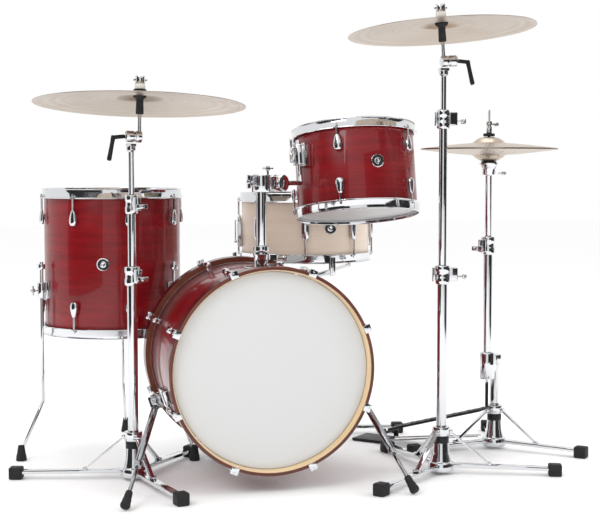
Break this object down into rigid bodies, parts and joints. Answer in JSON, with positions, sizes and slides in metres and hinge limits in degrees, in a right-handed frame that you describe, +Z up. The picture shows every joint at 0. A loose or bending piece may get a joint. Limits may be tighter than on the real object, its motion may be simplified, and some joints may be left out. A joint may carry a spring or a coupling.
{
  "type": "acoustic drum kit",
  "caption": "Acoustic drum kit: bass drum with pedal and tom post, rack tom, floor tom, snare on a stand, ride, crash and hi-hat on flat-base stands.",
  "frame": {"origin": "on the floor under the middle of the whole kit, the bottom centre of its bounding box", "axes": "+X to the right as the audience sees it, +Y away from the audience towards the drummer, +Z up"},
  "size_m": [1.4848, 1.0634, 1.1539],
  "materials": {
    "cherry_lacquer": "cherry-red stained wood grain under gloss lacquer",
    "hoop_wood": "red-brown stained wood, gloss lacquer, cream maple inside edge",
    "maple": "pale natural maple, satin lacquer",
    "drum_head": "white film, satin",
    "chrome": "polished chrome plate",
    "steel": "satin steel",
    "bronze": "lathed cymbal bronze, satin",
    "black": "black coated metal",
    "rubber": "black moulded rubber"
  },
  "bodies": {
    "kit": {"bass_shell": "cherry_lacquer", "bass_front_hoop": "hoop_wood", "bass_front_head": "drum_head", "bass_rear_hoop": "hoop_wood", "bass_rear_head": "drum_head", "tom_post_socket": "chrome", "floor_tom_shell": "cherry_lacquer", "floor_tom_top_hoop": "chrome", "floor_tom_top_head": "drum_head", "floor_tom_bottom_hoop": "chrome", "floor_tom_bottom_head": "drum_head", "ride_stand_base": "chrome", "ride_lower_tube": "chrome", "crash_stand_base": "chrome", "crash_lower_tube": "chrome", "hi_hat_base": "chrome", "hi_hat_column": "chrome", "hi_hat_upper_tube": "chrome", "hi_hat_bottom_cymbal": "bronze", "hi_hat_heel_plate": "black", "kick_pedal_frame": "steel", "snare_stand_base": "chrome", "snare_stand_lower_tube": "chrome"},
    "spur_left": {"spur_left": "chrome"},
    "spur_right": {"spur_right": "chrome"},
    "tom_post": {"tom_post": "chrome"},
    "tom_clamp": {"tom_arm_clamp": "chrome"},
    "rack_tom": {"tom_arm": "chrome", "rack_tom_shell": "cherry_lacquer", "rack_tom_top_hoop": "chrome", "rack_tom_top_head": "drum_head", "rack_tom_bottom_hoop": "chrome", "rack_tom_bottom_head": "drum_head"},
    "floor_tom_leg_1": {"floor_tom_leg_1": "chrome"},
    "floor_tom_leg_2": {"floor_tom_leg_2": "chrome"},
    "floor_tom_leg_3": {"floor_tom_leg_3": "chrome"},
    "ride_middle": {"ride_middle_tube": "chrome"},
    "ride_upper": {"ride_upper_rod": "chrome"},
    "ride_tilter": {"ride_tilter": "black", "ride_wing_nut": "black"},
    "ride_cymbal": {"ride_cymbal": "bronze"},
    "crash_middle": {"crash_middle_tube": "chrome"},
    "crash_upper": {"crash_upper_rod": "chrome"},
    "crash_tilter": {"crash_tilter": "black", "crash_wing_nut": "black"},
    "crash_cymbal": {"crash_cymbal": "bronze"},
    "hi_hat_pedal": {"hi_hat_footboard": "black"},
    "hi_hat_rod": {"hi_hat_pull_rod": "chrome", "hi_hat_top_cymbal": "bronze"},
    "kick_footboard": {"kick_pedal_footboard": "black"},
    "kick_beater": {"kick_pedal_beater": "steel"},
    "snare_stand_tube": {"snare_stand_upper_tube": "chrome"},
    "snare": {"snare_stand_basket": "chrome", "snare_shell": "maple", "snare_top_hoop": "chrome", "snare_top_head": "drum_head", "snare_bottom_hoop": "chrome", "snare_bottom_head": "drum_head", "snare_wires": "steel"},
    "snare_lever": {"snare_strainer_lever": "chrome"}
  },
  "joints": [
    {"name": "spur_left_fold", "type": "hinge", "parent": "kit", "child": "spur_left", "pos_m": [-0.39923, -0.25735, 0.20285], "axis": [-0.9511, 0, -0.309], "range_deg": [0, 70]},
    {"name": "spur_right_fold", "type": "hinge", "parent": "kit", "child": "spur_right", "pos_m": [0.10027, -0.25735, 0.20285], "axis": [-0.9511, 0, 0.309], "range_deg": [0, 70]},
    {"name": "tom_post_height", "type": "slide", "parent": "kit", "child": "tom_post", "axis": [0, 0, 1], "range_m": [0, 0.04]},
    {"name": "tom_swivel", "type": "hinge", "parent": "tom_post", "child": "tom_clamp", "pos_m": [-0.14648, -0.26135, 0.717], "axis": [0, 0, 1], "range_deg": [-3, 0]},
    {"name": "tom_tilt", "type": "hinge", "parent": "tom_clamp", "child": "rack_tom", "pos_m": [-0.09505, -0.21999, 0.71707], "axis": [0.6266, -0.7793, 0], "range_deg": [-4, 10]},
    {"name": "floor_tom_leg_1_slide", "type": "slide", "parent": "kit", "child": "floor_tom_leg_1", "axis": [0, 0, 1], "range_m": [-0.03, 0.05]},
    {"name": "floor_tom_leg_2_slide", "type": "slide", "parent": "kit", "child": "floor_tom_leg_2", "axis": [0, 0, 1], "range_m": [-0.03, 0.008]},
    {"name": "floor_tom_leg_3_slide", "type": "slide", "parent": "kit", "child": "floor_tom_leg_3", "axis": [0, 0, 1], "range_m": [-0.03, 0.05]},
    {"name": "ride_lower_height", "type": "slide", "parent": "kit", "child": "ride_middle", "axis": [0, 0, 1], "range_m": [-0.06, 0.1]},
    {"name": "ride_upper_height", "type": "slide", "parent": "ride_middle", "child": "ride_upper", "axis": [0, 0, 1], "range_m": [-0.04, 0.1]},
    {"name": "ride_tilt", "type": "hinge", "parent": "ride_upper", "child": "ride_tilter", "pos_m": [-0.42448, -0.17535, 0.828], "axis": [1, 0, 0], "range_deg": [-10, 25]},
    {"name": "ride_cymbal_rock", "type": "hinge", "parent": "ride_tilter", "child": "ride_cymbal", "pos_m": [-0.4209, -0.16782, 0.93568], "axis": [1, 0, 0], "range_deg": [-5, 5], "stiffness_Nm_per_rad": 12},
    {"name": "crash_lower_height", "type": "slide", "parent": "kit", "child": "crash_middle", "axis": [0, 0, 1], "range_m": [-0.06, 0.1]},
    {"name": "crash_upper_height", "type": "slide", "parent": "crash_middle", "child": "crash_upper", "axis": [0, 0, 1], "range_m": [-0.06, 0.08]},
    {"name": "crash_tilt", "type": "hinge", "parent": "crash_upper", "child": "crash_tilter", "pos_m": [0.29852, -0.30815, 1.012], "axis": [1, 0, 0], "range_deg": [-10, 25]},
    {"name": "crash_cymbal_rock", "type": "hinge", "parent": "crash_tilter", "child": "crash_cymbal", "pos_m": [0.29376, -0.30164, 1.11268], "axis": [1, 0, 0], "range_deg": [-5, 5], "stiffness_Nm_per_rad": 12},
    {"name": "hi_hat_pedal_press", "type": "hinge", "parent": "kit", "child": "hi_hat_pedal", "pos_m": [0.30552, 0.08865, 0.032], "axis": [-0.733, -0.6802, 0], "range_deg": [0, 5]},
    {"name": "hi_hat_rod_lift", "type": "slide", "parent": "kit", "child": "hi_hat_rod", "axis": [0, 0, 1], "range_m": [0, 0.026]},
    {"name": "kick_pedal_press", "type": "hinge", "parent": "kit", "child": "kick_footboard", "pos_m": [-0.16148, 0.30465, 0.03], "axis": [1, 0, 0], "range_deg": [0, 12]},
    {"name": "kick_beater_swing", "type": "hinge", "parent": "kit", "child": "kick_beater", "pos_m": [-0.16148, 0.04365, 0.25], "axis": [1, 0, 0], "range_deg": [0, 53.5], "stiffness_Nm_per_rad": 2, "springref_deg": -8.59},
    {"name": "snare_stand_height", "type": "slide", "parent": "kit", "child": "snare_stand_tube", "axis": [0, 0, 1], "range_m": [-0.05, 0.04]},
    {"name": "snare_basket_tilt", "type": "hinge", "parent": "snare_stand_tube", "child": "snare", "pos_m": [0.10452, 0.25965, 0.424], "axis": [1, 0, 0], "range_deg": [-10, 0]},
    {"name": "snare_strainer_throw", "type": "hinge", "parent": "snare", "child": "snare_lever", "pos_m": [-0.09036, 0.28704, 0.55], "axis": [-0.1392, -0.9903, 0], "range_deg": [0, 85]}
  ],
  "couplings": [
    {"joint": "hi_hat_rod_lift", "follows": "hi_hat_pedal_press", "m_per_rad": 0.28375},
    {"joint": "kick_beater_swing", "follows": "kick_pedal_press", "ratio": 4.4167}
  ]
}
